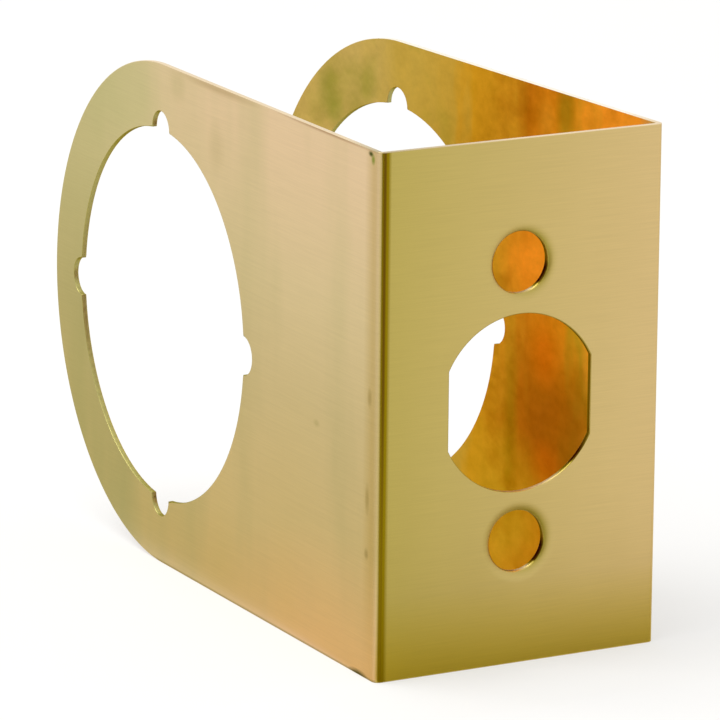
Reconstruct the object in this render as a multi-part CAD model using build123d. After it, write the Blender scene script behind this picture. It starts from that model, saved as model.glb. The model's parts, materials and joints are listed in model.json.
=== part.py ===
import os
from math import cos, radians, sin, tan

from build123d import *

# A door reinforcer plate: one strip of brass sheet folded into a U that wraps a door's edge.
# X runs across the door's thickness, Y from the door's edge into the door, and Z is up.
# The origin is where the latch's axis meets the door's edge, on the inside of the front.

# Sheet and folds
sheet = 0.8
inner_bend_radius = 0.2
toe_in = 2.1  # degrees that each leg leans in past square, so that the legs grip the door

# Outline
inside_width = 44.45  # between the legs at the folds, for a door 1 3/4 inches thick
plate_height = 76.2
plate_depth = 107.95  # outside of the front to the round ends of the legs

# Cross bore through both legs, with round notches at its quarters for the lock's pins
backset = 69.85  # door's edge to the bore's axis
bore_diameter = 56.4
notch_count = 4
notch_radius = 2.9
notch_depth = 2.75  # beyond the bore's wall

# Latch cut-out in the front: a round hole with a flat at each side
latch_diameter = 25.8
latch_flat_width = 23.1

# Screw holes above and below the latch, each dished towards the door for a screw's head
screw_spacing = 40.5
screw_hole_diameter = 8.9
dish_width = 1.6
dish_depth = 0.55

# What follows from those sizes
outer_bend_radius = inner_bend_radius + sheet
end_radius = plate_height / 2
end_centre_y = plate_depth - sheet - end_radius
bore_radius = bore_diameter / 2
notch_centre_radius = bore_radius + notch_depth - notch_radius
dish_radius = screw_hole_diameter / 2 + dish_width
lean = radians(toe_in)
cut_length = 2 * (inside_width + plate_depth)  # longer than the plate any way across


def fold_line(outwards, bend_radius):
    """The U seen from above, on the sheet's face that lies outwards from its inside by that much."""
    corner_x = inside_width / 2 + outwards * (1 + sin(lean)) / cos(lean)
    leg_run = plate_depth + outwards
    end_x = corner_x - leg_run * tan(lean)
    right = [(corner_x, -outwards), (end_x, leg_run - outwards)]
    left = [(-x, y) for x, y in reversed(right)]
    return FilletPolyline(*left, *right, radius=bend_radius)


def folded_strip():
    """The bent sheet, as high as the plate, with legs still square at their ends."""
    inside = fold_line(0, inner_bend_radius)
    outside = fold_line(sheet, outer_bend_radius)
    ends = [Line(inside @ k, outside @ k) for k in (0, 1)]
    section = make_face([inside, outside, *ends])
    return extrude(section, plate_height / 2, dir=(0, 0, 1), both=True)


def side_outline():
    """The plate's outline seen from the side: square at the front and fully round at the legs' ends."""
    straight = end_centre_y + sheet
    blank = Pos(end_centre_y - straight / 2, 0) * Rectangle(straight, plate_height)
    blank += Pos(end_centre_y, 0) * Circle(end_radius)
    return extrude(Plane.YZ * blank, cut_length / 2, dir=(1, 0, 0), both=True)


def cross_bore():
    """The lock's bore with its notches, square through both legs."""
    shape = Circle(bore_radius)
    shape += PolarLocations(notch_centre_radius, notch_count) * Circle(notch_radius)
    return extrude(Plane.YZ * Pos(backset, 0) * shape, cut_length / 2, dir=(1, 0, 0), both=True)


def latch_cut_out():
    """The latch's round hole with flat sides, through the front."""
    shape = Circle(latch_diameter / 2) & Rectangle(latch_flat_width, latch_diameter)
    return extrude(Plane.XZ * shape, outer_bend_radius, dir=(0, 1, 0), both=True)


def dished_rim():
    """The pressed ring round a screw hole: the sheet rolls in from the front along one arc."""
    rim = Vector(screw_hole_diameter / 2, dish_depth)
    brim = Vector(dish_radius, 0)
    through = Vector(0, -sheet)
    back = TangentArc(brim, rim, tangent=(-1, 0))
    face = TangentArc(brim + through, rim + through, tangent=(-1, 0))
    wall = Line(rim, rim + through)
    edge = Line(brim, brim + through)
    return revolve(make_face([back, wall, face, edge]), Axis.Y)


plate = folded_strip() & side_outline()
plate -= cross_bore()
plate -= latch_cut_out()
for screw in (Pos(0, 0, screw_spacing / 2), Pos(0, 0, -screw_spacing / 2)):
    plate -= screw * Rot(90, 0, 0) * Cylinder(dish_radius, 2 * outer_bend_radius)
    plate += screw * dished_rim()

os.makedirs("parts", exist_ok=True)
export_step(plate, "parts/reinforcer_plate.step")
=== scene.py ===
import json
import math

import bmesh
import bpy
import numpy as np
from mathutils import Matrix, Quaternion, Vector


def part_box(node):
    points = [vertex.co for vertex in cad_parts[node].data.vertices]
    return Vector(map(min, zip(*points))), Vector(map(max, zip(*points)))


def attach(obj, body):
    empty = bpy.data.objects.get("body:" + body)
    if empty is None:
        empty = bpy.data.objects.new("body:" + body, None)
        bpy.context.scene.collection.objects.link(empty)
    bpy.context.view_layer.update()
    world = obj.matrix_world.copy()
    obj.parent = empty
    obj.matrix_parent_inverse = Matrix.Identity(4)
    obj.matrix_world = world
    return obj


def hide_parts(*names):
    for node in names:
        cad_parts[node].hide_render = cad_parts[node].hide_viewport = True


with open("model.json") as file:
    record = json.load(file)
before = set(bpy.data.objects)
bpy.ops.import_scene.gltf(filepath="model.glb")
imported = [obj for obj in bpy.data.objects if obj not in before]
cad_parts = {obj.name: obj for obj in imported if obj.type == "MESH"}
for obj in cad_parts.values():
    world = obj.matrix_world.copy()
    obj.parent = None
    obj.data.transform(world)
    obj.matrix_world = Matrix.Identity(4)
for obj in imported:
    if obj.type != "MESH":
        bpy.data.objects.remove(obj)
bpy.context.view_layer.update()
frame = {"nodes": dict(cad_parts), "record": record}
mm = 0.001  # sizes below are in millimetres, the scene is in metres
tiny = 1e-6  # keeps divisions finite and comparisons safe
scene = bpy.context.scene
scene.view_settings.view_transform = "Standard"
print("frame loaded:", sorted(frame["nodes"]))

# The folded plate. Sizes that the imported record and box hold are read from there.
plateLow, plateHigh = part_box("reinforcer_plate")
mounts = {mount["name"]: mount for mount in frame["record"]["mounts"]}
plate = {
    "sheet": 0.8,  # thickness
    "innerBend": 0.2,
    "toeIn": math.radians(2.1),  # how far each leg leans in past square
    "insideWidth": 44.45,  # between the legs at the folds
    "halfHeight": (plateHigh.z - plateLow.z) / 2 / mm,
    "legEnd": plateHigh.y / mm,
    "backset": mounts["cross_bore"]["pos_m"][1] / mm,
    "boreRadius": mounts["cross_bore"]["dims"]["r_mm"],
    "notchRadius": 2.9,
    "notchDepth": 2.75,
    "latchRadius": 12.9,
    "latchHalfFlat": 11.55,
    "screwHeight": mounts["latch_screws"]["dims"]["spacing_y_mm"] / 2,
    "screwRadius": mounts["latch_screws"]["dims"]["hole_r_mm"],
    "dishWidth": 1.6,
    "dishDepth": 0.55,
    "shearRound": 0.07,  # how blunt the edges are
    "punchRound": 0.16,  # the punch drew the outer rims of the front's holes in a little more
    "edgeHold": 0.12,  # flat margin beside each blunt edge, which keeps the faces' shading flat
    "dishHold": 0.15,  # the same round each dish
    "handOver": 1.0,  # and beside each bend
    "frontZone": 13.5,  # the front is three zones, each round its own hole: this height divides them
    "roundSteps": 3, "dishSteps": 8, "bendSteps": 14, "notchSteps": 17,
    "sampleGap": 2.0,  # between points along straight edges
    "arcStep": math.radians(2.5),
    "cornerGap": 0.01, "turnGap": 0.004,  # mm and radians kept clear beside a zone's corners
    "mergeDigits": 4, "placeDigits": 6, "turnDigits": 7,  # decimals that tell points, places and turns apart
    "leastEdge": 1e-5,  # shorter edges are dissolved
    "sharpAngle": math.radians(40),
}
sheet, halfHeight, legEnd = plate["sheet"], plate["halfHeight"], plate["legEnd"]
backset, zoneHeight, screwHeight = plate["backset"], plate["frontZone"], plate["screwHeight"]
lean, inside = plate["toeIn"], plate["insideWidth"] / 2
outerBend = plate["innerBend"] + sheet
spread = (1 + math.sin(lean)) / math.cos(lean)  # sideways shift of a leg's plane for each mm of thickness
bendX, bendY = inside - plate["innerBend"] * spread, plate["innerBend"]  # centre of the right bend
frontEdge = bendX - plate["handOver"]
legStart = bendY + plate["handOver"]
endCentre = legEnd - halfHeight
dishRadius = plate["screwRadius"] + plate["dishWidth"]
dishCurve = (plate["dishWidth"] ** 2 + plate["dishDepth"] ** 2) / 2 / plate["dishDepth"]
notchCentre = plate["boreRadius"] + plate["notchDepth"] - plate["notchRadius"]


# Front: a plane, which near a screw hole sinks along a circle's arc that starts level with it
def frontPoint(x, z, depth):
    reach = np.minimum(np.hypot(x, z - screwHeight), np.hypot(x, z + screwHeight))
    roll = np.clip(dishRadius - reach, 0, plate["dishWidth"])
    dish = dishCurve - np.sqrt(dishCurve ** 2 - roll ** 2)
    return np.stack(np.broadcast_arrays(x, depth - sheet + dish, z), -1)


# Leg: a plane that leans in, at a place y along the door and z up; depth counts from the outer face
def legPoint(y, z, depth, side):
    out = sheet - depth
    x = inside + out * spread - (y + out) * math.tan(lean)
    return np.stack(np.broadcast_arrays(side * x, y, z), -1)


# Bend: an arc about the bend's centre that turns from the front's direction to the leg's
def bendPoint(turn, z, depth, side):
    radius = outerBend - depth
    x = bendX + radius * np.sin(turn)
    y = bendY - radius * np.cos(turn)
    return np.stack(np.broadcast_arrays(side * x, y, z), -1)


# Bore outline: the further out, at each angle, of the round bore and the nearest of its four round notches
def boreRadius(angle, offset):
    offAxis = (angle + math.pi / 4) % (math.pi / 2) - math.pi / 4
    within = (plate["notchRadius"] + offset) ** 2 - (notchCentre * np.sin(offAxis)) ** 2
    notch = np.where(within > 0, notchCentre * np.cos(offAxis) + np.sqrt(np.maximum(within, 0)), 0)
    return np.maximum(plate["boreRadius"] + offset, notch)


# Latch outline: the nearer in, at each angle, of a circle and two upright flats
def latchRadius(angle, offset):
    flat = (plate["latchHalfFlat"] + offset) / np.maximum(np.abs(np.cos(angle)), tiny)
    return np.minimum(plate["latchRadius"] + offset, flat)


# Screw hole outline: a circle
def screwRadius(angle, offset):
    return plate["screwRadius"] + offset + 0 * angle


# An edge's section: (inset from the edge, depth) round the outer face's blunt corner, down the wall and round
# the inner face's corner, each corner a quarter circle
def edgeSection(outerRound, innerRound):
    quarter = np.linspace(0, math.pi / 2, plate["roundSteps"] + 1)
    inward, down = 1 - np.sin(quarter), 1 - np.cos(quarter)
    outerHold, innerHold = outerRound + plate["edgeHold"], innerRound + plate["edgeHold"]
    inset = np.concatenate([[outerHold], outerRound * inward, innerRound * inward[::-1], [innerHold]])
    depth = np.concatenate([[0], outerRound * down, sheet - innerRound * down[::-1], [sheet]])
    return inset, depth


shearEdge = edgeSection(plate["shearRound"], plate["shearRound"])
punchEdge = edgeSection(plate["punchRound"], plate["shearRound"])
shearInset, shearDepth = shearEdge
edgeRows = len(shearInset)
outerSide, innerSide, shearedSide, punchedSide = 0, 1, 2, 3  # material slots
patches = []  # (points as a grid, material of each column, which quads are kept, whether the grid closes)


# One zone of sheet round a hole: rays from the hole's outline to the zone's border, carried through the
# sheet's section. border holds the zone's corners and edge points, inward the way in from a sheared edge, or
# zero. holeEdge is the section of the hole's edge, and rimSide the material of its blunt rim.
def addZone(place, centre, outline, holeEdge, rimSide, border, inward, rings=()):
    holeInset, holeDepth = holeEdge
    away = border - centre
    angle = np.arctan2(away[:, 1], away[:, 0])
    ray = np.stack([np.cos(angle), np.sin(angle)], -1)
    edge = border[:, None] + inward[:, None] * shearInset[::-1][None, :, None]
    hole = centre + ray[:, None] * outline(angle[:, None], holeInset[None])[..., None]
    ring = centre + ray[:, None] * np.asarray(rings, float)[None, :, None]
    flat = np.concatenate([edge, ring[:, ::-1], hole, ring], 1)
    depth = np.concatenate([shearDepth[::-1], np.zeros(len(rings)), holeDepth, np.full(len(rings), sheet)])
    points = place(flat[..., 0], flat[..., 1], depth[None])
    wall = edgeRows + len(rings) + edgeRows // 2 - 1
    finish = np.full(len(depth), innerSide)
    finish[1:edgeRows - 2] = shearedSide
    finish[edgeRows - 2:wall] = outerSide
    finish[wall - plate["roundSteps"]:wall] = rimSide
    finish[wall] = punchedSide
    sheared = np.abs(inward).sum(1) > 0
    keep = np.ones((len(border), len(depth)), bool)
    keep[:, :edgeRows - 1] = (sheared & np.roll(sheared, -1))[:, None]
    patches.append((points, finish, keep, True))


# Points shared by neighbouring zones: heights along the folds, and places across the front
notchTurn = np.linspace(-math.pi / 2, math.pi / 2, plate["notchSteps"])
notchAcross = np.arctan2(plate["notchRadius"] * np.sin(notchTurn),
                         notchCentre + plate["notchRadius"] * np.cos(notchTurn))
latchCorner = math.acos(plate["latchHalfFlat"] / plate["latchRadius"])
zoneCorner = math.atan2(zoneHeight, frontEdge)
heights = np.linspace(-halfHeight, halfHeight, int(2 * halfHeight / plate["sampleGap"]) + 1)[1:-1]
heights = np.concatenate([
    heights, [-zoneHeight, zoneHeight], (backset - legStart) * np.tan(notchAcross),
    frontEdge * np.tan([-latchCorner, latchCorner])])
heights = np.unique(heights.round(plate["placeDigits"]))
arcTurns = np.arange(zoneCorner, math.pi - zoneCorner, plate["arcStep"])[1:]
across = np.concatenate([zoneHeight / np.tan(arcTurns), -zoneHeight / np.tan(arcTurns)])
across = np.unique(across.round(plate["placeDigits"]))
across = across[np.abs(across) < frontEdge - plate["cornerGap"]]


# A zone's border on the front, counter-clockwise from its lower right corner
def frontBorder(low, high, shearedLow, shearedHigh):
    up = heights[(heights > low + tiny) & (heights < high - tiny)]
    right = np.stack([np.full(len(up), frontEdge), up], -1)
    top = np.stack([across[::-1], np.full(len(across), high)], -1)
    left = np.stack([np.full(len(up), -frontEdge), up[::-1]], -1)
    bottom = np.stack([across, np.full(len(across), low)], -1)
    corners = [np.array([[x, z]]) for x, z in
               ((frontEdge, low), (frontEdge, high), (-frontEdge, high), (-frontEdge, low))]
    border = np.concatenate([corners[0], right, corners[1], top, corners[2], left, corners[3], bottom])
    inward = np.zeros_like(border)
    inward[np.abs(border[:, 1] - high) < tiny, 1] = -1.0 if shearedHigh else 0.0
    inward[np.abs(border[:, 1] - low) < tiny, 1] = 1.0 if shearedLow else 0.0
    return border, inward


ringStart = plate["punchRound"] + plate["edgeHold"]
ringEnd = plate["dishWidth"] + plate["dishHold"]
dishRings = plate["screwRadius"] + np.linspace(ringStart, ringEnd, plate["dishSteps"])[1:]
addZone(frontPoint, np.array([0, 0]), latchRadius, punchEdge, outerSide,
        *frontBorder(-zoneHeight, zoneHeight, False, False))
addZone(frontPoint, np.array([0, screwHeight]), screwRadius, punchEdge, outerSide,
        *frontBorder(zoneHeight, halfHeight, False, True), dishRings)
addZone(frontPoint, np.array([0, -screwHeight]), screwRadius, punchEdge, outerSide,
        *frontBorder(-halfHeight, -zoneHeight, True, False), dishRings)

# Legs: rays round the free edges, straight and then round, and then the fold's heights
cornerTurn = math.atan2(halfHeight, legStart - backset)
turns = np.concatenate([
    np.arange(-cornerTurn, cornerTurn, plate["arcStep"])[1:],
    *[k * math.pi / 2 + notchAcross for k in (-1, 0, 1)]])
turns = np.unique(turns.round(plate["turnDigits"]))
turns = turns[np.abs(turns) < cornerTurn - plate["turnGap"]]
straight = halfHeight / np.maximum(np.abs(np.sin(turns)), tiny)
towardEnd = np.cos(turns) * (endCentre - backset)
roundReach = towardEnd + np.sqrt(towardEnd ** 2 - (endCentre - backset) ** 2 + halfHeight ** 2)
onRound = backset + straight * np.cos(turns) > endCentre
reach = np.where(onRound, roundReach, straight)
free = np.stack([backset + reach * np.cos(turns), reach * np.sin(turns)], -1)
freeIn = np.where(onRound[:, None], (np.array([endCentre, 0]) - free) / halfHeight,
                  np.stack([0 * turns, -np.sign(turns)], -1))
foldSide = np.stack([np.full(len(heights), legStart), heights[::-1]], -1)
legBorder = np.concatenate([free, [[legStart, halfHeight]], foldSide, [[legStart, -halfHeight]]])
legInward = np.concatenate([freeIn, [[0, -1]], np.zeros_like(foldSide), [[0, 1]]])
for side in (-1, 1):
    addZone(lambda y, z, depth: legPoint(y, z, depth, side), np.array([backset, 0]),
            boreRadius, shearEdge, punchedSide, legBorder, legInward)

# Bends: the strip's section, carried through the turn from the front's edge to the leg's start
stripUp = np.concatenate([heights, halfHeight - shearInset, heights[::-1], -halfHeight + shearInset])
stripDepth = np.concatenate([0 * heights, shearDepth, 0 * heights + sheet, shearDepth[::-1]])
turn = np.linspace(0, math.pi / 2 + lean, plate["bendSteps"] + 1)
shearedRows = np.full(edgeRows - 3, shearedSide)
stripFinish = np.concatenate([
    np.full(len(heights) + 1, outerSide), shearedRows, np.full(len(heights) + 3, innerSide), shearedRows,
    [outerSide, outerSide]])
for side in (-1, 1):
    strip = bendPoint(turn[:, None], stripUp[None], stripDepth[None], side)
    flatFront = frontPoint(np.full(len(stripUp), side * frontEdge), stripUp, stripDepth)
    flatLeg = legPoint(np.full(len(stripUp), legStart), stripUp, stripDepth, side)
    points = np.concatenate([flatFront[None], strip, flatLeg[None]])
    patches.append((points, stripFinish, np.ones(points.shape[:2], bool), False))
print("plate zones:", len(patches))

# Where painted shade and highlight follow the shape, and which part is leg. Stops are (degrees, share), but
# (mm up, share) in foldUp. Degrees turn from the front round a fold, and from the right round a hole. Those
# of rims and walls count from where the painted shade starts or ends.
wallBottom, wallTop = 0.33, 0.67  # shares that stand for the bottom and top of the walls of the front's holes
shadeAndSideStops = {
    # painted shade along the left fold, across it and up it
    "foldAcross": [(-40, 0), (-11, 0.6), (-5, 0.75), (2, 1), (17, 1), (24, 0.75), (42, 0)],
    "foldUp": [(-halfHeight, 0.78), (-20, 0.83), (4, 0.96)],  # fainter towards the floor
    "legAcross": [(26, 0), (60, 1)],
    "poolTurn": math.radians(10), "poolMean": 0.5, "poolSwing": 0.7,  # painted shade strongest at the dishes' right
    "grimeStart": -66, "latchEnd": -25, "screwEnd": 0,  # painted shade ends under the latch hole's right flat
    # painted shade round the rims of the front's holes
    "rimStart": [(-44, 0.7), (-12, 0.1), (2, 0.1), (20, 1)], "rimEnd": [(-12, 1), (6, 0.7)],
    "rimReach": 0.9,  # share of the rim's rounding
    # painted highlight at the bottom of the front's hole walls, painted shade higher up, darkest at the lower
    # right
    "wallStart": [(0, wallBottom), (20, 1)], "wallEnd": [(-14, 1), (4, wallTop)],
}


def byStops(values, stops):  # straight lines between the stops
    return np.interp(values, *zip(*stops))


# Shares from 0 to 1 at each point: the left fold's painted shade and legSide on the legs, by the angle turned
# from the front; painted shade in the screw dishes, by depth, and round the rims of the front's holes; and
# holeWall, for the walls' painted shade and highlight, 0 in the bores and by the angle round each front hole
def shadeAndSideLayers(x, y, z):
    turned = (np.degrees(np.arctan2(np.abs(x) - bendX, bendY - y)) + 90) % 360 - 90
    foldLine = byStops(turned, shadeAndSideStops["foldAcross"]) * byStops(z, shadeAndSideStops["foldUp"]) * (x < 0)
    legSide = byStops(turned, shadeAndSideStops["legAcross"])
    holeZ = np.where(np.abs(z) < zoneHeight, 0, np.sign(z) * screwHeight)
    fromHole, around = np.hypot(x, z - holeZ), np.arctan2(z - holeZ, x)
    sunk = (y + sheet) / plate["dishDepth"] * (fromHole < dishRadius)
    shadedSide = np.clip(shadeAndSideStops["poolMean"] + shadeAndSideStops["poolSwing"] * np.cos(around - shadeAndSideStops["poolTurn"]), 0, 1)
    dishPool = sunk * (sunk < 1) * shadedSide
    fromStart = np.degrees(around) - shadeAndSideStops["grimeStart"]
    fromEnd = np.degrees(around) - np.where(holeZ == 0, shadeAndSideStops["latchEnd"], shadeAndSideStops["screwEnd"])
    rimGap = fromHole - np.where(holeZ == 0, latchRadius(around, 0), plate["screwRadius"])
    rim = np.minimum(byStops(fromStart, shadeAndSideStops["rimStart"]), byStops(fromEnd, shadeAndSideStops["rimEnd"]))
    dishPool = np.where(rimGap < shadeAndSideStops["rimReach"] * plate["punchRound"], rim, dishPool)
    wall = np.minimum(byStops(fromStart, shadeAndSideStops["wallStart"]), byStops(fromEnd, shadeAndSideStops["wallEnd"]))
    holeWall = wall * (y < legStart)
    return {"foldLine": foldLine, "legSide": legSide, "dishPool": dishPool, "holeWall": holeWall}


# Joins the grids into one mesh: quads by index, then equal points made one
def buildPlate(name):
    allPoints, allQuads, allFinish, start = [], [], [], 0
    for points, finish, keep, closed in patches:
        rows, columns = points.shape[:2]
        index = start + np.arange(rows * columns).reshape(rows, columns)
        nextRow, nextColumn = np.roll(index, -1, 0), np.roll(index, -1, 1)
        quads = np.stack([index, nextRow, np.roll(nextRow, -1, 1), nextColumn], -1)
        used = keep.copy()
        if not closed:
            used[-1] = False
        allPoints.append(points.reshape(-1, 3))
        allQuads.append(quads[used])
        allFinish.append(np.broadcast_to(finish, (rows, columns))[used])
        start += rows * columns
    points, quads, finish = (np.concatenate(part) for part in (allPoints, allQuads, allFinish))
    points, same = np.unique(points.round(plate["mergeDigits"]), axis=0, return_inverse=True)
    used, quads = np.unique(same.reshape(-1)[quads], return_inverse=True)
    points, quads = points[used], quads.reshape(-1, 4)
    mesh = bpy.data.meshes.new(name)
    mesh.from_pydata((points * mm).tolist(), [], quads.tolist())
    mesh.polygons.foreach_set("material_index", finish.astype(np.int32))
    for layer, values in shadeAndSideLayers(*points.T).items():
        mesh.attributes.new(layer, "FLOAT", "POINT").data.foreach_set("value", values.astype(np.float32))
    work = bmesh.new()
    work.from_mesh(mesh)
    bmesh.ops.dissolve_degenerate(work, edges=work.edges, dist=plate["leastEdge"] * mm)
    bmesh.ops.recalc_face_normals(work, faces=work.faces)
    openEdges = sum(len(edge.link_faces) != 2 for edge in work.edges)
    print("plate mesh:", len(work.verts), "points,", len(work.faces), "faces,", openEdges, "open edges,",
          round(work.calc_volume() / mm ** 3), "mm3")
    work.to_mesh(mesh)
    work.free()
    mesh.shade_smooth()
    mesh.set_sharp_from_angle(angle=plate["sharpAngle"])
    piece = bpy.data.objects.new(name, mesh)
    scene.collection.objects.link(piece)
    return piece


folded = buildPlate("folded_plate")


def linear(hexColour):  # sRGB hex to the linear colour that the shaders take
    parts = [int(hexColour[i:i + 2], 16) / 255 for i in (1, 3, 5)]
    return [c / 12.92 if c <= 0.04045 else ((c + 0.055) / 1.055) ** 2.4 for c in parts] + [1.0]


# Adds a node with its settings and links: an input is a value, a hex colour, a socket, or a node whose first
# live output is taken
def addNode(tree, kind, inputs={}, **settings):
    node = tree.nodes.new("ShaderNode" + kind)
    for name, value in settings.items():
        setattr(node, name, value)
    for name, value in inputs.items():
        socket = node.inputs[name] if isinstance(name, int) else next(
            live for live in node.inputs if live.enabled and live.name == name)
        if isinstance(value, bpy.types.Node):
            value = next(live for live in value.outputs if live.enabled)
        if isinstance(value, bpy.types.NodeSocket):
            tree.links.new(value, socket)
        else:
            socket.default_value = linear(value) if isinstance(value, str) else value
    return node


def setStops(ramp, stops):  # fills a colour ramp with (place along it, colour)
    elements = ramp.color_ramp.elements
    while len(elements) < len(stops):
        elements.new(1.0)
    for element, (at, colour) in zip(elements, stops):
        element.position, element.color = at, linear(colour)


def newMaterial(name):
    material = bpy.data.materials.new(name)
    material.use_nodes = True
    material.node_tree.nodes.clear()
    return material, material.node_tree


def perMm(size):  # pattern scale for blotches that measure so many mm in x, y and z
    return [1 / (side * mm) for side in size]


noiseSpan = {"From Min": 0.3, "From Max": 0.7}  # most of a noise's values lie in this range
acrossGrain = 0.25  # of a full turn: smears light across the grain instead of along it
stainCore = 0.3  # share of a stain's radius out to which it is at full strength


def addStains(tree, place, tone, stains):  # soft-edged ellipsoids over a tone
    for centre, radii, colour, share in stains:
        away = addNode(tree, "VectorMath", {0: place, 1: [c * mm for c in centre]}, operation="SUBTRACT")
        inRadii = addNode(tree, "VectorMath", {0: away, 1: [r * mm for r in radii]}, operation="DIVIDE")
        reach = addNode(tree, "VectorMath", {0: inRadii}, operation="LENGTH")
        cover = addNode(tree, "MapRange", {
            "Value": reach, "From Min": stainCore, "To Min": share, "To Max": 0.0})
        tone = addNode(tree, "Mix", {"Factor": cover, "A": tone, "B": colour}, data_type="RGBA")
    return tone


# Satin brass, brushed along the strip and lacquered: fine level grain, with light smeared up and down
satin = {
    "peach": [  # the legs' main tone: mm up, colour; paler higher up, as painted light
        (-38, "#d0b888"), (-24, "#d4c098"), (-2, "#d3c29e"), (14, "#dccaa8"), (34, "#e5ccae"),
    ],
    "oliveLow": "#b5af82", "oliveHigh": "#c8c094",  # their other tone, in upright drifts, and at the far ends
    "oliveStart": -4.0, "oliveFull": 20.0,  # mm up
    "driftSize": (16.0, 16.0, 70.0), "drift": 0.4,  # mm, share
    "endStart": 46.0, "endFull": 102.0,  # mm from the front
    "foldWear": "#ba9f5e", "foldWearShare": 0.55,  # painted shade: a darker margin beside the folds
    "foldWearStart": 3.6, "foldWearFull": 1.0,  # mm from the front
    "lowEdge": "#857438", "lowEdgeHeight": 0.45,  # dull line along the legs' lower edges, mm
    "legStains": [  # place in mm, radii in mm, colour, share
        ((-22.5, 10.0, -40.0), (5.0, 44.0, 21.0), "#e8c29c", 0.7),  # pinker at the left leg's lower corner
        ((-20.0, 82.0, 32.0), (4.0, 19.0, 15.0), "#c4c092", 0.75),  # olive where its round end begins
        ((-21.3, 50.0, 37.8), (3.0, 15.0, 1.0), "#a08454", 0.36),  # brown streaks under its top edge
        ((-22.4, 15.0, 38.1), (3.0, 20.0, 0.5), "#a0785a", 0.7),
        ((-21.2, 51.0, 29.0), (3.0, 3.2, 4.5), "#aa9c6c", 0.18),  # faint smudges
        ((-20.7, 64.0, 36.0), (3.0, 3.2, 3.2), "#a4a468", 0.22),
        ((-22.4, 18.0, -4.6), (3.0, 1.2, 0.7), "#9c9460", 0.3),
    ],
    "frontLeft": "#c0ae5c", "frontRight": "#dcc086",  # the front's tint, olive at the left and tan at the right
    "frontLow": "#c8b02c", "lowStart": -26.0, "lowShare": 0.75,  # and painted shade, deeper gold towards its lower edge
    "dishOlive": "#a4962a",  # and painted shade in the screw dishes and at the holes' rims
    "rimBrown": "#54400c", "brownFrom": 0.8,  # darkest painted shade where its share is past this
    "foldTones": [  # painted shade along the left fold: colour, the fold's share where it starts, and is full
        ("#947e0a", 0.1, 0.55), ("#644410", 0.72, 1.0),
    ],
    "stains": [
        ((-23.0, 1.9, 37.5), (1.0, 0.9, 0.5), "#324204", 0.95),  # verdigris by the top corner
        ((-23.0, 1.2, 36.8), (1.0, 0.7, 0.9), "#748a1c", 0.8),
        ((-22.9, 4.4, -38.1), (1.0, 3.6, 0.9), "#3c3c02", 0.9),  # smudge on the lower edge
        ((-22.3, -0.75, 37.6), (0.4, 0.4, 0.7), "#1c0400", 0.95),  # dirt at the fold's top
        ((-23.0, 1.6, 2.8), (1.0, 0.8, 1.8), "#8a7638", 0.4),  # specks beside the fold
        ((-23.0, 2.1, -11.9), (1.0, 0.8, 2.6), "#8a7638", 0.4),
        ((-23.0, 2.2, -19.9), (1.0, 0.8, 1.0), "#7a6632", 0.4),
    ],
    "grainSize": (9.0, 9.0, 0.16),  # mm; real grain is finer, and this is as fine as shows
    "grainDepth": 0.03,  # share of the colour
    "grainRelief": 0.0015,  # mm
    "dull": 0.45, "bright": 0.39,  # roughness
    "smear": 0.75,
    "edgeTint": "#f4e8cc",
}
satinBrass, tree = newMaterial("satinBrass")
place = addNode(tree, "TexCoord").outputs["Object"]
axes = addNode(tree, "SeparateXYZ", {"Vector": place}).outputs

# the legs' painted light: paler towards the top
upward = addNode(tree, "MapRange", {"Value": axes["Z"], "From Min": plateLow.z, "From Max": plateHigh.z})
peach = addNode(tree, "ValToRGB", {"Fac": upward})
setStops(peach, [(0.5 + at / halfHeight / 2, colour) for at, colour in satin["peach"]])
oliveShare = addNode(tree, "MapRange", {
    "Value": axes["Z"], "From Min": satin["oliveStart"] * mm, "From Max": satin["oliveFull"] * mm})
olive = addNode(tree, "Mix", {"Factor": oliveShare, "A": satin["oliveLow"], "B": satin["oliveHigh"]},
                data_type="RGBA")
driftPlace = addNode(tree, "Mapping", {"Vector": place, "Scale": perMm(satin["driftSize"])})
drift = addNode(tree, "TexNoise", {"Vector": driftPlace, "Scale": 1.0, "Detail": 3.0})
sway = addNode(tree, "MapRange", {
    "Value": drift, **noiseSpan, "To Min": -satin["drift"], "To Max": satin["drift"]})
end = addNode(tree, "MapRange", {
    "Value": axes["Y"], "From Min": satin["endStart"] * mm, "From Max": satin["endFull"] * mm})
legShare = addNode(tree, "Math", {0: end, 1: sway}, operation="ADD", use_clamp=True)
legTone = addNode(tree, "Mix", {"Factor": legShare, "A": peach, "B": olive}, data_type="RGBA")
# painted shade beside the folds
marginShadeShare = addNode(tree, "MapRange", {
    "Value": axes["Y"], "From Min": satin["foldWearStart"] * mm, "From Max": satin["foldWearFull"] * mm,
    "To Max": satin["foldWearShare"]})
legTone = addNode(tree, "Mix", {"Factor": marginShadeShare, "A": legTone, "B": satin["foldWear"]}, data_type="RGBA")
legTone = addStains(tree, place, legTone, satin["legStains"])
edgeShare = addNode(tree, "MapRange", {
    "Value": axes["Z"], "From Min": plateLow.z + satin["lowEdgeHeight"] * mm, "From Max": plateLow.z})
legTone = addNode(tree, "Mix", {"Factor": edgeShare, "A": legTone, "B": satin["lowEdge"]}, data_type="RGBA")

frontShare = addNode(tree, "MapRange", {"Value": axes["X"], "From Min": plateLow.x, "From Max": plateHigh.x})
frontTone = addNode(tree, "Mix", {"Factor": frontShare, "A": satin["frontLeft"], "B": satin["frontRight"]},
                    data_type="RGBA")
# painted shade towards the front's lower edge
lowShare = addNode(tree, "MapRange", {
    "Value": axes["Z"], "From Min": satin["lowStart"] * mm, "From Max": plateLow.z,
    "To Max": satin["lowShare"]})
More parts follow.
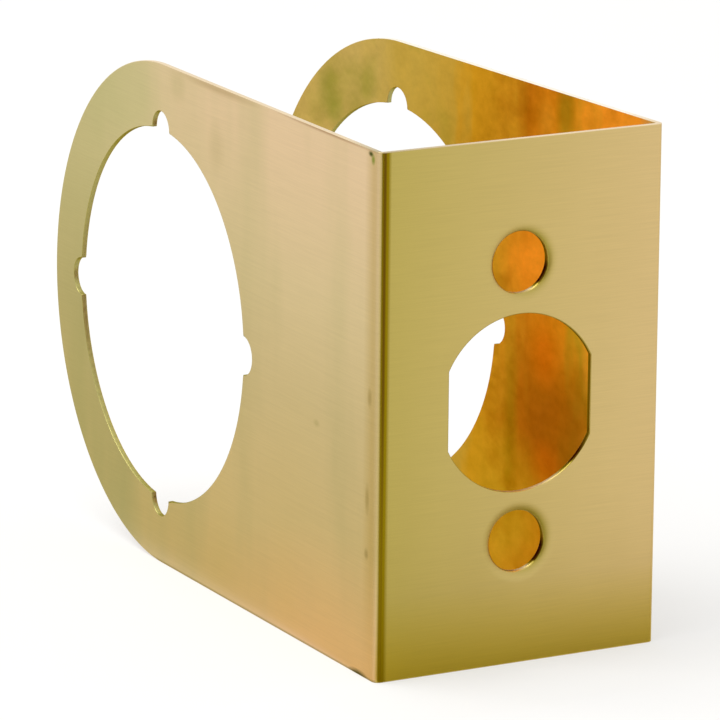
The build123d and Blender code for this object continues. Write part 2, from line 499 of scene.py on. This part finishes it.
# painted shade in the screw dishes and round the rims of the front's holes
dishShadeShare = addNode(tree, "Attribute", attribute_name="dishPool").outputs["Fac"]
rimShare = addNode(tree, "MapRange", {"Value": dishShadeShare, "From Min": satin["brownFrom"]})
for share, colour in (
        (lowShare, satin["frontLow"]), (dishShadeShare, satin["dishOlive"]), (rimShare, satin["rimBrown"])):
    frontTone = addNode(tree, "Mix", {"Factor": share, "A": frontTone, "B": colour}, data_type="RGBA")

legSide = addNode(tree, "Attribute", attribute_name="legSide").outputs["Fac"]
tone = addNode(tree, "Mix", {"Factor": legSide, "A": frontTone, "B": legTone}, data_type="RGBA")
grainPlace = addNode(tree, "Mapping", {"Vector": place, "Scale": perMm(satin["grainSize"])})
grain = addNode(tree, "TexNoise", {"Vector": grainPlace, "Scale": 1.0, "Detail": 3.0})
grainShade = addNode(tree, "MapRange", {
    "Value": grain, **noiseSpan, "To Min": 1 - satin["grainDepth"], "To Max": 1 + satin["grainDepth"]})
tone = addNode(tree, "Mix", {"Factor": 1.0, "A": tone, "B": grainShade},
               data_type="RGBA", blend_type="MULTIPLY")
tone = addStains(tree, place, tone, satin["stains"])
# painted shade along the left fold
foldLine = addNode(tree, "Attribute", attribute_name="foldLine").outputs["Fac"]
for colour, starts, full in satin["foldTones"]:
    share = addNode(tree, "MapRange", {"Value": foldLine, "From Min": starts, "From Max": full})
    tone = addNode(tree, "Mix", {"Factor": share, "A": tone, "B": colour}, data_type="RGBA")
gloss = addNode(tree, "MapRange", {
    "Value": drift, **noiseSpan, "To Min": satin["bright"], "To Max": satin["dull"]})
relief = addNode(tree, "Bump", {"Height": grain, "Distance": satin["grainRelief"] * mm})
level = addNode(tree, "Tangent", direction_type="RADIAL", axis="Z")
shader = addNode(tree, "BsdfPrincipled", {
    "Base Color": tone, "Metallic": 1.0, "Roughness": gloss, "Normal": relief, "Tangent": level,
    "Specular Tint": satin["edgeTint"], "Anisotropic": satin["smear"], "Anisotropic Rotation": acrossGrain})
addNode(tree, "OutputMaterial", {"Surface": shader})

# Rolled brass, left bare on the inner side and tarnished: amber bands along the folds, with brown clouds
# among them, and olive clouds at the far ends
tarnish = {
    "bands": [  # mm from the front, colour; the bright orange near the folds is partly tarnish and partly painted reflection
        (1, "#d0b074"), (4, "#ffa43c"), (14, "#ffa43c"), (17, "#e2a43c"), (20.5, "#be9832"), (25, "#e2922e"),
        (33, "#cc802a"), (38, "#d49a36"), (48, "#d4a038"), (52, "#c8a44c"), (68, "#c4a856"), (80, "#c8b06c"),
    ],
    "reach": 90.0,  # mm that the bands take up
    "sway": 3.0, "swaySize": (6.0, 6.0, 20.0),  # mm
    "swayStart": 1.0, "swayFull": 6.0,  # mm from the front
    "calm": "#d6b468", "calmShare": 0.6,  # the left leg's inner side, hidden in the photograph, is calmer
    "stains": [  # on the right leg
        ((22.0, 24.0, -13.0), (6.0, 20.0, 17.0), "#98581e", 0.75),  # brown behind the latch hole
        ((22.0, 31.0, 11.0), (6.0, 11.0, 8.0), "#fb9c38", 0.9),
        ((22.0, 38.0, -28.0), (6.0, 16.0, 15.0), "#c49a34", 0.8),
        ((22.0, 37.0, -14.0), (6.0, 2.4, 20.0), "#94761c", 0.5),
        ((22.0, 19.0, -25.0), (6.0, 7.0, 7.0), "#d8802c", 0.7),
        ((22.0, 17.5, 35.0), (6.0, 4.5, 8.0), "#f8a23a", 0.9),  # orange and olive by the top edge
        ((22.0, 23.5, 35.0), (6.0, 3.0, 7.0), "#a8882c", 0.8),
        ((22.0, 28.5, 33.0), (6.0, 3.0, 4.0), "#eca63e", 0.5),
        ((22.0, 28.0, -1.5), (6.0, 5.0, 6.5), "#dc701e", 0.5),  # redder behind the latch hole
        ((22.0, 27.5, -18.0), (6.0, 5.0, 4.5), "#cc6c1e", 0.5),
        ((19.0, 90.5, 27.0), (6.0, 3.6, 5.0), "#7a8a3c", 0.36),  # greenish smudges at the far end
        ((19.0, 87.8, 24.2), (6.0, 3.0, 3.5), "#7f9040", 0.4),
        ((19.0, 78.0, 30.8), (6.0, 3.2, 4.5), "#86903c", 0.35),
    ],
    "clouds": [  # colour, share, size in mm, mm from the front where they start, and are full
        ("#a4601a", 0.42, (8.0, 8.0, 6.0), 52.0, 44.0),
        ("#828a36", 0.5, (12.0, 12.0, 9.0), 50.0, 62.0),
    ],
    "cloudSpan": {"From Min": 0.5, "From Max": 0.7},  # the upper half of the noise is cloud
    "mottle": 0.1, "mottleSize": (3.0, 3.0, 2.2),  # share of the colour, mm
    "dull": 0.38, "bright": 0.28,  # roughness
    "smear": 0.7,
    "edgeTint": "#dca048",
}
tarnishedBrass, tree = newMaterial("tarnishedBrass")
place = addNode(tree, "TexCoord").outputs["Object"]
axes = addNode(tree, "SeparateXYZ", {"Vector": place}).outputs
depth = axes["Y"]
swayPlace = addNode(tree, "Mapping", {"Vector": place, "Scale": perMm(tarnish["swaySize"])})
sway = addNode(tree, "TexNoise", {"Vector": swayPlace, "Scale": 1.0, "Detail": 3.0})
sway = addNode(tree, "MapRange", {
    "Value": sway, **noiseSpan, "To Min": -tarnish["sway"] * mm, "To Max": tarnish["sway"] * mm})
swayed = addNode(tree, "Math", {0: depth, 1: sway}, operation="ADD")
swayShare = addNode(tree, "MapRange", {
    "Value": depth, "From Min": tarnish["swayStart"] * mm, "From Max": tarnish["swayFull"] * mm})
swayed = addNode(tree, "Mix", {"Factor": swayShare, "A": depth, "B": swayed})
bandPlace = addNode(tree, "MapRange", {"Value": swayed, "From Max": tarnish["reach"] * mm})
bands = addNode(tree, "ValToRGB", {"Fac": bandPlace})
setStops(bands, [(at / tarnish["reach"], colour) for at, colour in tarnish["bands"]])
calmShare = addNode(tree, "MapRange", {
    "Value": axes["X"], "From Min": 0.0, "From Max": plateLow.x, "To Max": tarnish["calmShare"]})
tone = addNode(tree, "Mix", {"Factor": calmShare, "A": bands, "B": tarnish["calm"]}, data_type="RGBA")
tone = addStains(tree, place, tone, tarnish["stains"])
for colour, most, size, starts, full in tarnish["clouds"]:
    cloudPlace = addNode(tree, "Mapping", {"Vector": place, "Scale": perMm(size)})
    cloud = addNode(tree, "TexNoise", {"Vector": cloudPlace, "Scale": 1.0, "Detail": 4.0})
    cover = addNode(tree, "MapRange", {"Value": cloud, **tarnish["cloudSpan"], "To Max": most})
    where = addNode(tree, "MapRange", {"Value": swayed, "From Min": starts * mm, "From Max": full * mm})
    cover = addNode(tree, "Math", {0: cover, 1: where}, operation="MULTIPLY")
    tone = addNode(tree, "Mix", {"Factor": cover, "A": tone, "B": colour}, data_type="RGBA")
mottlePlace = addNode(tree, "Mapping", {"Vector": place, "Scale": perMm(tarnish["mottleSize"])})
mottle = addNode(tree, "TexNoise", {"Vector": mottlePlace, "Scale": 1.0, "Detail": 5.0, "Roughness": 0.65})
mottleShade = addNode(tree, "MapRange", {
    "Value": mottle, **noiseSpan, "To Min": 1 - tarnish["mottle"], "To Max": 1 + tarnish["mottle"]})
tone = addNode(tree, "Mix", {"Factor": 1.0, "A": tone, "B": mottleShade},
               data_type="RGBA", blend_type="MULTIPLY")
gloss = addNode(tree, "MapRange", {
    "Value": mottle, **noiseSpan, "To Min": tarnish["bright"], "To Max": tarnish["dull"]})
level = addNode(tree, "Tangent", direction_type="RADIAL", axis="Z")
shader = addNode(tree, "BsdfPrincipled", {
    "Base Color": tone, "Metallic": 1.0, "Roughness": gloss, "Specular Tint": tarnish["edgeTint"],
    "Tangent": level, "Anisotropic": tarnish["smear"], "Anisotropic Rotation": acrossGrain})
addNode(tree, "OutputMaterial", {"Surface": shader})

# Sheared brass of the outline: bare and burnished pale by the shear, and paler towards the right by painted
# highlight, with fine scores through the thickness
sheared = {
    "dull": "#bba878", "cream": "#e8d0a6",  # left end of the front's edges, darker as painted shade, and the rest
    "white": "#fbf3e0",  # painted highlight on the right leg
    "legStart": 1.0, "legFull": 9.0,  # mm from the front where the legs' tones start and are full
    "whiteFull": 10.0,  # mm right of the middle
    "scoreSize": (4.0, 0.3, 0.3), "score": 0.06,  # mm, share of the colour
    "rough": 0.38, "smooth": 0.28,
}
shearedBrass, tree = newMaterial("shearedBrass")
place = addNode(tree, "TexCoord").outputs["Object"]
axes = addNode(tree, "SeparateXYZ", {"Vector": place}).outputs
# painted highlight: the edges grow paler from the front's left end to the right leg
fromLeft = addNode(tree, "MapRange", {"Value": axes["X"], "From Min": plateLow.x, "From Max": 0.0})
fromFront = addNode(tree, "MapRange", {
    "Value": axes["Y"], "From Min": sheared["legStart"] * mm, "From Max": sheared["legFull"] * mm})
creamShare = addNode(tree, "Math", {0: fromLeft, 1: fromFront}, operation="MAXIMUM")
tone = addNode(tree, "Mix", {"Factor": creamShare, "A": sheared["dull"], "B": sheared["cream"]},
               data_type="RGBA")
onRight = addNode(tree, "MapRange", {"Value": axes["X"], "From Max": sheared["whiteFull"] * mm})
highlightShare = addNode(tree, "Math", {0: onRight, 1: fromFront}, operation="MULTIPLY")
tone = addNode(tree, "Mix", {"Factor": highlightShare, "A": tone, "B": sheared["white"]}, data_type="RGBA")
scorePlace = addNode(tree, "Mapping", {"Vector": place, "Scale": perMm(sheared["scoreSize"])})
score = addNode(tree, "TexNoise", {"Vector": scorePlace, "Scale": 1.0, "Detail": 2.0})
scoreShade = addNode(tree, "MapRange", {
    "Value": score, **noiseSpan, "To Min": 1 - sheared["score"], "To Max": 1 + sheared["score"]})
tone = addNode(tree, "Mix", {"Factor": 1.0, "A": tone, "B": scoreShade},
               data_type="RGBA", blend_type="MULTIPLY")
gloss = addNode(tree, "MapRange", {
    "Value": score, **noiseSpan, "To Min": sheared["smooth"], "To Max": sheared["rough"]})
shader = addNode(tree, "BsdfPrincipled", {"Base Color": tone, "Metallic": 1.0, "Roughness": gloss})
addNode(tree, "OutputMaterial", {"Surface": shader})

# Punched brass of the holes' walls: dull gold with coarse scores, and in the front's holes painted shade,
# olive to brown, with a cream painted highlight at their bottom
punched = {
    "tones": [  # bores, then the front's holes at the bottom (painted highlight), at the top and at the lower right (painted shade)
        (0, "#b2aa6a"), (wallBottom, "#dcc8a0"), (wallTop, "#8c7a20"), (1, "#3c1c04"),
    ],
    "scoreSize": (0.5, 0.5, 0.5), "score": 0.1,  # mm, share of the colour
    "rough": 0.46, "smooth": 0.36,
    "edgeTint": "#a08c3c",
}
punchedBrass, tree = newMaterial("punchedBrass")
place = addNode(tree, "TexCoord").outputs["Object"]
holeWall = addNode(tree, "Attribute", attribute_name="holeWall").outputs["Fac"]
# painted shade and highlight round the front's hole walls
wallShade = addNode(tree, "ValToRGB", {"Fac": holeWall})
setStops(wallShade, punched["tones"])
scorePlace = addNode(tree, "Mapping", {"Vector": place, "Scale": perMm(punched["scoreSize"])})
score = addNode(tree, "TexNoise", {"Vector": scorePlace, "Scale": 1.0, "Detail": 2.0})
scoreShade = addNode(tree, "MapRange", {
    "Value": score, **noiseSpan, "To Min": 1 - punched["score"], "To Max": 1 + punched["score"]})
tone = addNode(tree, "Mix", {"Factor": 1.0, "A": wallShade, "B": scoreShade},
               data_type="RGBA", blend_type="MULTIPLY")
gloss = addNode(tree, "MapRange", {
    "Value": score, **noiseSpan, "To Min": punched["smooth"], "To Max": punched["rough"]})
shader = addNode(tree, "BsdfPrincipled", {
    "Base Color": tone, "Metallic": 1.0, "Roughness": gloss, "Specular Tint": punched["edgeTint"]})
addNode(tree, "OutputMaterial", {"Surface": shader})

for material in (satinBrass, tarnishedBrass, shearedBrass, punchedBrass):  # in the order of the slots above
    folded.data.materials.append(material)
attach(folded, "root")
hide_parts("reinforcer_plate")
print("finishes set:", len(folded.data.materials))

# Camera, fitted to the plate's edges in the photograph
view = {
    "place": (-440.6, -740.5, 216.7),
    "aim": (-14.74, 19.14, 3.52),
    "roll": math.radians(0.546),  # the picture's right side is up by this much
    "lens": 314.9, "sensor": 36,
    "clipStart": 0.01, "clipEnd": 20,  # metres
}
cameraData = bpy.data.cameras.new("camera")
cameraData.lens, cameraData.sensor_width = view["lens"], view["sensor"]
cameraData.clip_start, cameraData.clip_end = view["clipStart"], view["clipEnd"]
camera = bpy.data.objects.new("camera", cameraData)
scene.collection.objects.link(camera)
camera.location = Vector(view["place"]) * mm
sight = Vector(view["aim"]) - Vector(view["place"])
camera.rotation_mode = "QUATERNION"
camera.rotation_quaternion = sight.to_track_quat("-Z", "Y") @ Quaternion((0, 0, 1), view["roll"])
scene.camera = camera
print("camera set")

# White paper floor, bright surroundings, one soft lamp, and toned cards that only the metal's reflections
# see. Sizes are in metres.
stage = {
    "floorSize": 6.0, "floorColour": "#f2f1ee", "floorGlow": 0.55,
    "worldStrength": 0.7,
    "lampPlace": (-0.6, 0.3, 1.6), "lampSize": 1.2, "lampPower": 20.0,
    "screenLeft": -0.22, "screenRight": -0.06, "screenReach": 0.20, "screenHeight": 0.22,
    "screenColour": "#8a7236",
    "frontReach": 0.020, "frontColour": "#b6a81c",
    "frontPastLeft": 0.01, "frontPastRight": 0.05,  # beyond the plate's sides
    "sideReach": 0.10, "sideEnd": 0.5, "sideColour": "#d6cf9e",
    "cardLift": 0.0002,  # above the floor
}
half, floorZ = stage["floorSize"] / 2, plateLow.z


def stagePiece(name, corners, colour):  # one flat card
    mesh = bpy.data.meshes.new(name)
    mesh.from_pydata(corners, [], [(0, 1, 2, 3)])
    piece = bpy.data.objects.new(name, mesh)
    scene.collection.objects.link(piece)
    material, tree = newMaterial(name)
    paper = addNode(tree, "BsdfPrincipled", {"Base Color": colour, "Roughness": 1.0})
    output = addNode(tree, "OutputMaterial", {"Surface": paper})
    mesh.materials.append(material)
    return piece, tree, paper, output


def backgroundRay(tree):  # 1 for what the camera sees, also by way of metal or glass
    path = addNode(tree, "LightPath").outputs
    ray = addNode(tree, "Math", {0: path["Is Camera Ray"], 1: path["Is Glossy Ray"]}, operation="MAXIMUM")
    return addNode(tree, "Math", {0: ray, 1: path["Is Transmission Ray"]}, operation="MAXIMUM")


def levelCard(x0, x1, y0, y1, z):
    return [(x0, y0, z), (x1, y0, z), (x1, y1, z), (x0, y1, z)]


def uprightCard(x0, x1, y, z0, z1):
    return [(x0, y, z0), (x1, y, z0), (x1, y, z1), (x0, y, z1)]


floorCorners = levelCard(-half, half, -half, half, floorZ)
_, tree, paper, output = stagePiece("whitePaper", floorCorners, stage["floorColour"])
glow = addNode(tree, "Emission", {"Color": (1, 1, 1, 1), "Strength": 1.0})
share = addNode(tree, "Math", {0: backgroundRay(tree), 1: stage["floorGlow"]}, operation="MULTIPLY")
lit = addNode(tree, "MixShader", {0: share, 1: paper, 2: glow})
tree.links.new(lit.outputs[0], output.inputs["Surface"])

near, cardZ = plateLow.y, floorZ + stage["cardLift"]
screenCorners = uprightCard(stage["screenLeft"], stage["screenRight"], -stage["screenReach"],
                            floorZ, floorZ + stage["screenHeight"])
frontCorners = levelCard(plateLow.x - stage["frontPastLeft"], plateHigh.x + stage["frontPastRight"],
                         near - stage["frontReach"], near, cardZ)
sideCorners = levelCard(plateLow.x - stage["sideReach"], plateLow.x, near, stage["sideEnd"], cardZ)
cards = [
    stagePiece("brownScreen", screenCorners, stage["screenColour"]),
    stagePiece("oliveCard", frontCorners, stage["frontColour"]),
    stagePiece("tanCard", sideCorners, stage["sideColour"]),
]
for card, *_ in cards:
    card.visible_camera = card.visible_diffuse = card.visible_shadow = False

lampData = bpy.data.lights.new("softBox", "AREA")
lampData.size, lampData.energy = stage["lampSize"], stage["lampPower"]
lamp = bpy.data.objects.new("softBox", lampData)
scene.collection.objects.link(lamp)
lamp.location = stage["lampPlace"]
lamp.rotation_euler = (-lamp.location).to_track_quat("-Z", "Y").to_euler()

scene.world = bpy.data.worlds.new("studio")
scene.world.use_nodes = True
tree = scene.world.node_tree
tree.nodes.clear()
strength = addNode(tree, "MapRange", {"Value": backgroundRay(tree), "To Min": stage["worldStrength"]})
white = addNode(tree, "Background", {"Color": (1, 1, 1, 1), "Strength": strength})
addNode(tree, "OutputWorld", {"Surface": white})
print("stage set")
